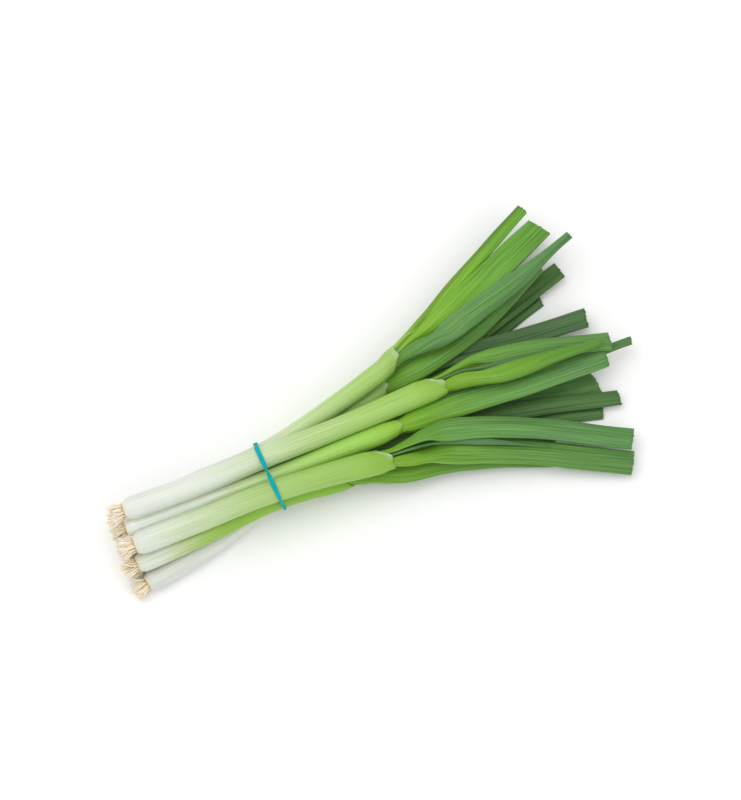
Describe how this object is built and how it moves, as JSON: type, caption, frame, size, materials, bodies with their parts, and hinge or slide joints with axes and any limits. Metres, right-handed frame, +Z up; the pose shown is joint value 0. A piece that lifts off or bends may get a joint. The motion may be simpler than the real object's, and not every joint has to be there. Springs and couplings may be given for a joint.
{
  "type": "spring onion bunch",
  "caption": "Bunch of fresh spring onions lying flat, with root tufts, white bulbs, green sheaths and fanned, square-cut leaves, held by a rubber band.",
  "frame": {"origin": "on the table, under the middle of the bunch's bounding box", "axes": "+X from the roots to the cut leaf tips, +Y across the fan towards its far side, +Z up from the table"},
  "size_m": [0.3486, 0.1884, 0.0399],
  "materials": {
    "onion_stem": "fresh plant skin, white at the bulb to yellow-green at the mouth, satin",
    "onion_leaf": "ribbed green leaf with a waxy bloom, satin",
    "onion_roots": "dry straw-coloured fibre, matt",
    "band_rubber": "teal rubber, satin"
  },
  "bodies": {
    "root": {"onion_1_stem": "onion_stem", "onion_1_roots": "onion_roots", "onion_1_leaf_1": "onion_leaf", "onion_1_leaf_2": "onion_leaf", "onion_1_leaf_3": "onion_leaf", "onion_2_stem": "onion_stem", "onion_2_roots": "onion_roots", "onion_2_leaf_1": "onion_leaf", "onion_2_leaf_2": "onion_leaf", "onion_3_stem": "onion_stem", "onion_3_roots": "onion_roots", "onion_3_leaf_1": "onion_leaf", "onion_3_leaf_2": "onion_leaf", "onion_4_stem": "onion_stem", "onion_4_roots": "onion_roots", "onion_4_leaf_1": "onion_leaf", "onion_4_leaf_2": "onion_leaf", "onion_4_leaf_3": "onion_leaf", "onion_5_stem": "onion_stem", "onion_5_roots": "onion_roots", "onion_5_leaf_1": "onion_leaf", "onion_5_leaf_2": "onion_leaf", "onion_6_stem": "onion_stem", "onion_6_roots": "onion_roots", "onion_6_leaf_1": "onion_leaf", "onion_6_leaf_2": "onion_leaf", "onion_7_stem": "onion_stem", "onion_7_roots": "onion_roots", "onion_7_leaf_1": "onion_leaf", "onion_7_leaf_2": "onion_leaf", "onion_7_leaf_3": "onion_leaf", "onion_8_stem": "onion_stem", "onion_8_roots": "onion_roots", "onion_8_leaf_1": "onion_leaf", "onion_8_leaf_2": "onion_leaf", "onion_8_leaf_3": "onion_leaf", "rubber_band": "band_rubber"}
  },
  "joints": []
}
